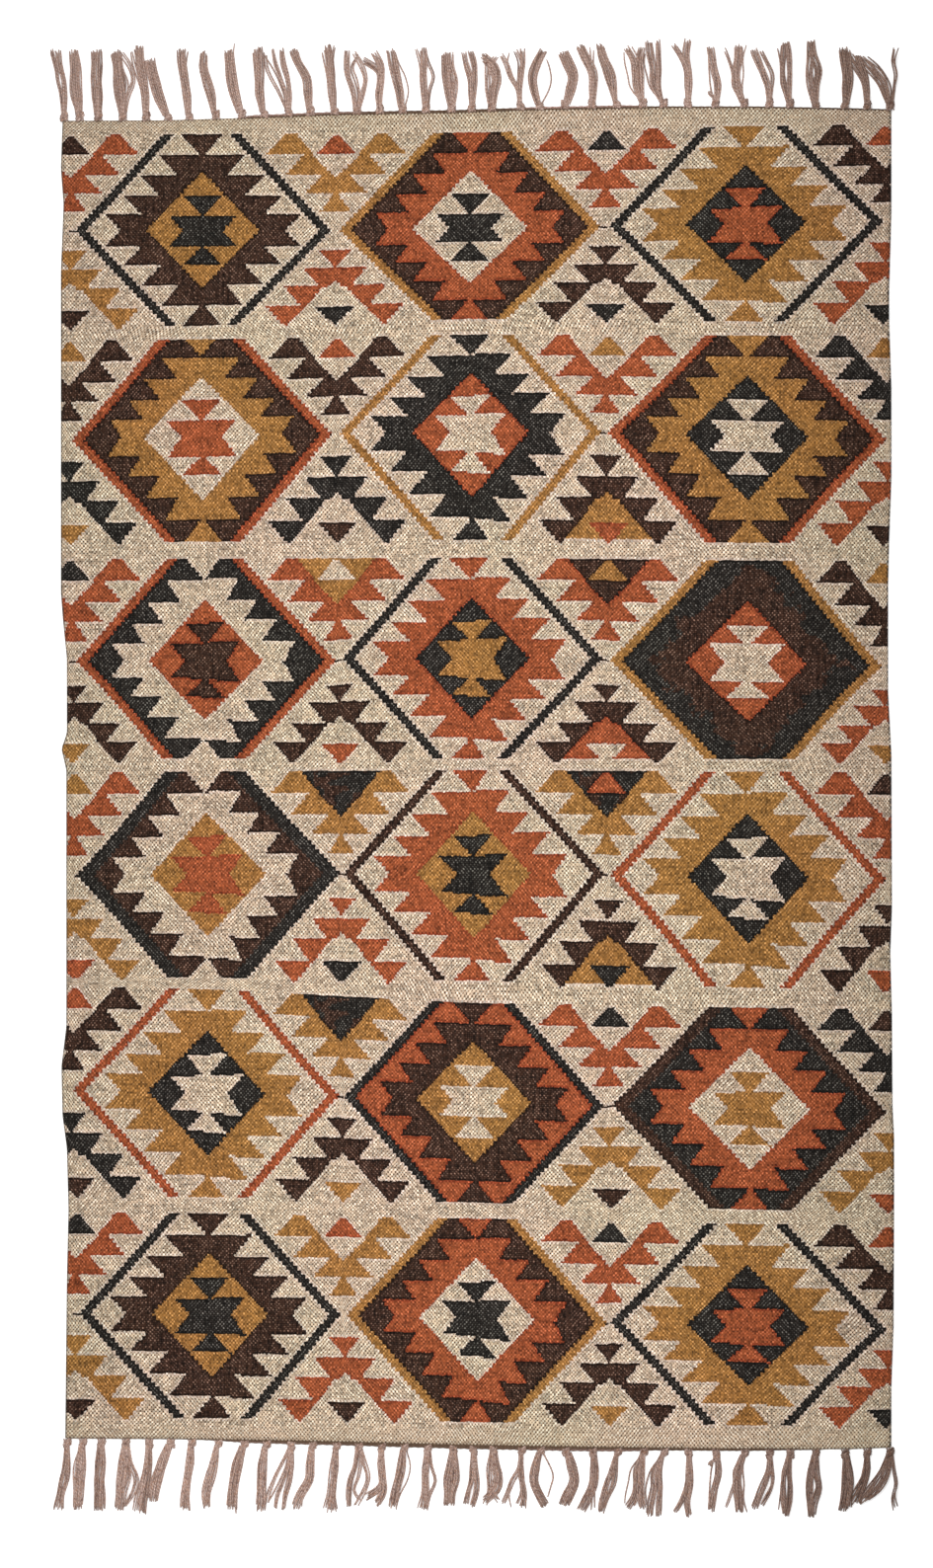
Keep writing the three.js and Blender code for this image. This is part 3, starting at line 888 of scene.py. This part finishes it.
fringeLook = {
    "strandWidth": (2.9, 3.7),
    "pitch": 3.4,  # from one strand to the next in a lock
    "sides": 5,
    "steps": 12,
    "wander": 0.7,  # how far a strand strays from its place in the lock
    "uneven": 0.09,  # the shortest strand ends this share before the longest
    "drawnIn": 0.62,  # how close the strands lie at the knot, as a share of the pitch
    "spread": 1.6,  # and how fast they part
    "layer": 2.7,  # the upper strands lie this much higher
    "settle": 0.8,  # and sink by this much towards the tip
    "leave": 2.2,  # height at which the strands leave the knot
    "curl": 9,  # radians that a strand waves from side to side along its run
    "ripple": 0.3,  # and how far up and down
    "apart": 0.8,  # from one lock of a tassel to the next, upwards
    "stagger": 1.6,  # every other tassel lies this much higher, so that crossing ones don't clash
}
knotLook = {
    "long": 14,
    "high": 8.6,
    "wraps": 3,
    "wrapWidth": 5.6,
    "pitch": 4.1,  # from one wrap to the next
    "half": 6.4,  # how far to each side the middle wrap reaches
    "taper": 0.9,  # and how much less the outer ones do
    "askew": 3.1,
    "advance": 0.9,
    "steps": 12,
    "sunk": 0.6,  # how far the knot sits on the cloth, and the locks in the knot
    "gathered": 4,  # warps that show between the cloth and a knot
    "gatheredWidth": 3.2,
}
headerLook = {
    "wave": 13,  # length of one wave of the two cords
    "step": 3,
    "lap": 1.4,  # how far they lie on the cloth
    "low": 2.6,
    # the rest are shares of the header's width
    "first": 0.27,  # the inner cord's middle
    "apart": 0.46,
    "sway": 0.05,
    "radius": 0.28,
    "proud": 0.08,
    "rise": 0.07,
}
# Crown and crease are the two sides of a ply: the crown's lighter colour is painted highlight and the
# crease's darker one painted shade in the twist. Stain is what some strands are soiled with. From where its
# shade starts, to the right, the yarn takes on a tint of painted shade for the light falling off across the
# rug.
yarnLook = {
    "crown": (240, 208, 194), "crease": (178, 143, 128), "stain": (116, 80, 60), "twist": 6.5,
    "stained": 0.7, "flecked": 1.0, "paintedShadeFrom": 2, "paintedShade": (0.7, 0.68, 0.67, 1),
}
bottomYarn = dict(yarnLook, paintedShadeFrom=-0.9)
topCord = dict(
    yarnLook, crown=(226, 188, 176), crease=(170, 132, 120), stain=(106, 82, 60), twist=5,
    stained=0.95, flecked=0.5,
)
bottomCord = dict(topCord, crown=(186, 152, 142), crease=(130, 100, 90))
# How wide the header's cords show along each end, and how much of the outer one is pale yarn
topHeaderRun = rowsOf(
    "x wide pale",
    (-750, 1.0, 0), (-430, 1.3, 0), (-400, 6.6, 0.7), (-230, 6.4, 0.5), (-180, 6.2, 0.1), (60, 5.8, 0),
    (140, 6.4, 1), (290, 6.2, 0.8), (330, 4.0, 0), (772, 3.4, 0),
)
bottomHeaderRun = rowsOf(
    "x wide pale",
    (-742, 1.2, 0), (-500, 2.0, 0), (-400, 6.8, 0.4), (-150, 7.8, 0.1), (60, 8.4, 0.1), (200, 8.8, 0.5),
    (290, 8.2, 0.6), (340, 5.6, 0), (520, 4.8, 0), (640, 2.8, 0), (660, 0.8, 0), (775, 0.8, 0),
)

straightStrands = {}


def straightStrand(steps):
    # A strand before it is laid: radius 1, length 1, with its own run of UV
    if steps not in straightStrands:
        bm = bmesh.new()
        bmesh.ops.create_cone(
            bm, cap_ends=True, segments=fringeLook["sides"], radius1=1, radius2=1, depth=1,
        )
        long = [e for e in bm.edges if abs(e.verts[0].co.z - e.verts[1].co.z) > 0.5]
        bmesh.ops.subdivide_edges(bm, edges=long, cuts=steps - 1, use_grid_fill=True)
        layer = bm.loops.layers.uv.new("strand")
        bm.verts.layers.float.new("tone")
        for face in bm.faces:
            face.smooth = True
            around = [math.atan2(loop.vert.co.y, loop.vert.co.x) / math.tau % 1 for loop in face.loops]
            for loop, turn in zip(face.loops, around):
                wrapped = turn + 1 if turn < 0.01 and max(around) > 0.6 else turn
                loop[layer].uv = (loop.vert.co.z + 0.5, wrapped)
        straightStrands[steps] = meshOf("straightStrand", bm)
    return straightStrands[steps]


def smoothPath(points, steps):
    # A rounded run of even steps that passes through a few points
    points = [Vector(p) for p in points]
    ends = [points[0] * 2 - points[1]] + points + [points[-1] * 2 - points[-2]]
    run = []
    for i in range(steps + 1):
        at = i / steps * (len(points) - 1)
        k = min(int(at), len(points) - 2)
        t = at - k
        a, b, c, d = ends[k:k + 4]
        second = (2 * a - 5 * b + 4 * c - d) * t * t
        third = (3 * b - a - 3 * c + d) * t ** 3
        run.append(0.5 * (2 * b + (c - a) * t + second + third))
    return run


def layStrand(bm, path, width, tone, tip):
    # Lays one strand along a path of millimetres. Tip is the width of its end as a share of its own.
    steps = len(path) - 1
    vertsBefore, facesBefore = len(bm.verts), len(bm.faces)
    bm.from_mesh(straightStrand(steps))
    bm.verts.ensure_lookup_table()
    bm.faces.ensure_lookup_table()
    toneLayer, strandLayer = bm.verts.layers.float["tone"], bm.loops.layers.uv["strand"]
    path = [Vector(p) for p in path]
    widths = width if isinstance(width, list) else [width] * (steps + 1)
    tones = tone if isinstance(tone, list) else [tone] * (steps + 1)
    across = Vector((1, 0, 0))
    rings = []
    for i, at in enumerate(path):
        along = (path[min(i + 1, steps)] - path[max(i - 1, 0)]).normalized()
        across = across - along * across.dot(along)
        if across.length < 0.05:
            across = Vector((0, 0, 1)).cross(along)
        across.normalize()
        rings.append((at, across.copy(), along.cross(across)))
    for vert in bm.verts[vertsBefore:]:
        step = round((vert.co.z + 0.5) * steps)
        at, side, up = rings[step]
        radius = widths[step] / 2 * (1 - (1 - tip) * max(0, step / steps - 0.8) / 0.2)  # the last fifth
        vert.co = (at + (side * vert.co.x + up * vert.co.y) * radius) * mm
        vert[toneLayer] = tones[step]
    length = sum((b - a).length for a, b in zip(path, path[1:])) * mm
    begin = path[0].x * 0.37 % 1  # so that the plies of two strands don't fall in step
    for face in bm.faces[facesBefore:]:
        for loop in face.loops:
            loop[strandLayer].uv.x = loop[strandLayer].uv.x * length + begin


def strandTone(shuffle, least, spread):
    # How soiled a strand is, from not at all to wholly; most are soiled a little
    return min(1, least + abs(shuffle.gauss(0, spread)))


def layLock(bm, row, lock, rootY, outward, lift, shuffle):
    # One bundle of strands, two deep, along its own run
    look = fringeLook
    count, *offsets, run = lock
    reach = (row["reach"] - knotLook["long"]) * run
    abreast = count if count < 4 else (count + 1) // 2
    start = max(-3.5, min(3.5, offsets[0] * 0.5))  # it comes out of the knot near its middle
    points = [(row["root"] + start, rootY - outward * 4, 0)]
    for k, offset in enumerate(offsets, 1):
        points.append((row["root"] + offset, rootY + outward * reach * k / 4, 0))
    steps = look["steps"]
    middle = smoothPath(points, steps)
    for i in range(count):
        upper = i >= abreast
        beside = count - abreast if upper else abreast
        place = (i - abreast if upper else i) + 0.5 - beside / 2
        width = shuffle.uniform(*look["strandWidth"])
        phase, bend = shuffle.uniform(0, math.tau), shuffle.uniform(-1, 1)
        end = 1 - look["uneven"] * shuffle.random()
        path = []
        for step, at in enumerate(middle):
            share = step / steps
            along = (middle[min(step + 1, steps)] - middle[max(step - 1, 0)]).normalized()
            gathered = min(1, look["drawnIn"] + share * look["spread"])
            waves = look["curl"] * share
            loose = look["wander"] * min(1, 2.5 * share) * (math.sin(phase + waves) + bend * share)
            aside = place * look["pitch"] * gathered + loose
            layer = look["layer"] - look["settle"] * share if upper else 0
            rise = look["leave"] * max(0, 1 - share * 6)
            z = width / 2 + layer + rise + lift * min(1, 2 * share)
            x = at.x - along.y * outward * aside
            y = at.y + along.x * outward * aside
            path.append((x, y, max(width / 2, z + look["ripple"] * math.sin(phase * 2 + waves))))
        cut = Vector(path[-1]) - Vector(path[-2])
        path[-1] = Vector(path[-2]) + cut * (1 - (1 - end) * steps * 0.8)
        layStrand(bm, path, width, strandTone(shuffle, 0, 0.3), tip=0.7)


def tieKnot(bm, x, y, outward, shuffle):
    # An overhand knot: the warps go round the bundle side by side, askew
    look = knotLook
    hand = shuffle.choice((-1, 1, 1))
    for i in range(look["wraps"]):
        aside = i - (look["wraps"] - 1) / 2
        middle = y + outward * aside * look["pitch"]
        wide = look["half"] - look["taper"] * abs(aside) ** 1.5 + shuffle.uniform(-0.4, 0.4)
        tall = look["high"] / 2 - look["wrapWidth"] / 2
        start = shuffle.uniform(0, math.tau)
        path = []
        for step in range(look["steps"] + 1):
            turn = start + math.tau * step / look["steps"]
            lean = hand * look["askew"] * math.cos(turn)
            path.append((
                x + wide * math.cos(turn),
                middle + lean + outward * look["advance"] * (step / look["steps"] - 0.5),
                look["high"] / 2 + (tall - 0.4 * abs(aside)) * math.sin(turn),
            ))
        layStrand(bm, path, look["wrapWidth"], strandTone(shuffle, 0.2, 0.25), tip=0.9)

    # The warps come in from the cloth's edge on both sides
    edge = y - outward * (look["long"] / 2 + 0.5)
    for i in range(look["gathered"]):
        share = (i + 0.5) / look["gathered"] * 2 - 1
        path = smoothPath([
            (x + share * 9, edge, 3.2),
            (x + share * 7, edge + outward * 3, 4.2),
            (x + share * 4, y, 4.4),
        ], 5)
        layStrand(bm, path, look["gatheredWidth"], strandTone(shuffle, 0.2, 0.2), tip=0.9)


def headerCord(bm, edge, run, outward):
    # Two cords side by side along the end of the cloth, the outer one pale in places
    look = headerLook
    pairs = edgePairs(edge, "x", "y")
    widths, pales = edgePairs(run, "x", "wide"), edgePairs(run, "x", "pale")
    start, end = pairs[0][0] + 1, pairs[-1][0] - 1
    steps = int((end - start) / look["step"])
    for outer in (0, 1):
        path, thick, tones = [], [], []
        for step in range(steps + 1):
            x = start + (end - start) * step / steps
            wide = between(widths, x)
            wave = math.sin(math.tau * x / look["wave"] + outer * math.pi)
            lap = min(look["lap"], wide * 0.4)
            middle = look["first"] + look["apart"] * outer + look["sway"] * wave
            y = between(pairs, x) + outward * (wide * middle - lap)
            radius = 0.15 + wide * look["radius"]
            z = max(look["low"], radius + look["proud"] * wide) + look["rise"] * wide * wave
            path.append((x, y, z))
            thick.append(radius * 2)
            tones.append(1 - outer * between(pales, x))
        layStrand(bm, path, thick, tones, tip=1)


def emptyStrands():
    # A mesh with the layers of a strand and nothing in it yet
    bm = bmesh.new()
    bm.verts.layers.float.new("tone")
    bm.loops.layers.uv.new("strand")
    return bm


def makeFringe(name, end):
    # Knots and strands of one end, and the header that they are tied to
    shuffle = random.Random(end["seed"])
    outward, knotHalf = end["outward"], knotLook["long"] / 2 - knotLook["sunk"]
    pairs = edgePairs(end["edge"], "x", "y")
    bm = emptyStrands()
    for i, row in enumerate(tassels):
        root = row["root"] + end["shift"] * (tasselSpan["right"] - row["root"]) / tasselSpan["width"]
        knotY = between(pairs, root) + outward * (end["header"] * 0.4 + knotHalf)
        for k, lock in enumerate(row["locks"]):
            lift = i % 2 * fringeLook["stagger"] + k * fringeLook["apart"]
            layLock(bm, dict(row, root=root), lock, knotY + outward * knotHalf, outward, lift, shuffle)
        tieKnot(bm, root, knotY, outward, shuffle)
    fringe = newPiece(name, bm, yarnMaterial(name + "Yarn", end["yarn"]))
    cords = emptyStrands()
    headerCord(cords, end["edge"], end["run"], outward)
    header = newPiece(name + "Header", cords, yarnMaterial(name + "Cord", end["cord"]))
    print(name, "made:", len(fringe.data.polygons), "faces")
    return fringe, header


# Header is how wide the header is under the knots. The lower edge starts a little further right than
# the upper one, and so do its tassels: by the shift at the left end, by nothing at the right.
tasselSpan = {"right": 770, "width": 1520}
topEnd = {
    "edge": topEdge, "outward": 1, "seed": 21, "header": 4, "shift": 0,
    "run": topHeaderRun, "cord": topCord, "yarn": yarnLook,
}
bottomEnd = {
    "edge": bottomEdge, "outward": -1, "seed": 22, "header": 6, "shift": 6,
    "run": bottomHeaderRun, "cord": bottomCord, "yarn": bottomYarn,
}
topFringe, topHeader = makeFringe("topFringe", topEnd)
bottomFringe, bottomHeader = makeFringe("bottomFringe", bottomEnd)
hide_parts("fringe_top")
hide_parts("fringe_bottom")
for mesh in straightStrands.values():
    bpy.data.meshes.remove(mesh)


# Floor and light
# A white light table, wide enough that no edge of it shows from the side
room = {"floor": 60.0, "floorColour": (0.9, 0.9, 0.9, 1), "glow": 0.4}

floorMesh = bmesh.new()
bmesh.ops.create_grid(floorMesh, x_segments=2, y_segments=2, size=room["floor"])
floor = linked("floor", meshOf("floor", floorMesh))
floorPaint = Tree("floorPaint")
floorPaint.constants({
    "Base Color": room["floorColour"], "Emission Color": (1, 1, 1, 1), "Emission Strength": room["glow"],
    "Roughness": 0.9, "Specular IOR Level": 0.1,
})
floor.data.materials.append(floorPaint.material)

world = bpy.data.worlds.new("studio")
world.use_nodes = True
world.node_tree.nodes["Background"].inputs[0].default_value = (1, 1, 1, 1)
world.node_tree.nodes["Background"].inputs[1].default_value = light["sky"]
bpy.context.scene.world = world
sun = linked("sun", bpy.data.lights.new("sun", "SUN"))
sun.data.energy = light["sun"]
sun.data.angle = math.radians(light["sunSoft"])
sun.rotation_euler = light["sunTurn"]
panel = linked("panel", bpy.data.lights.new("panel", "AREA"))
panel.data.shape = "RECTANGLE"
panel.data.size, panel.data.size_y = light["panel"]["size"]
panel.data.energy = light["panel"]["power"]
panel.location = light["panel"]["at"]
panel.visible_camera = False
bpy.context.scene.view_settings.view_transform = "Standard"
print("floor and light set")
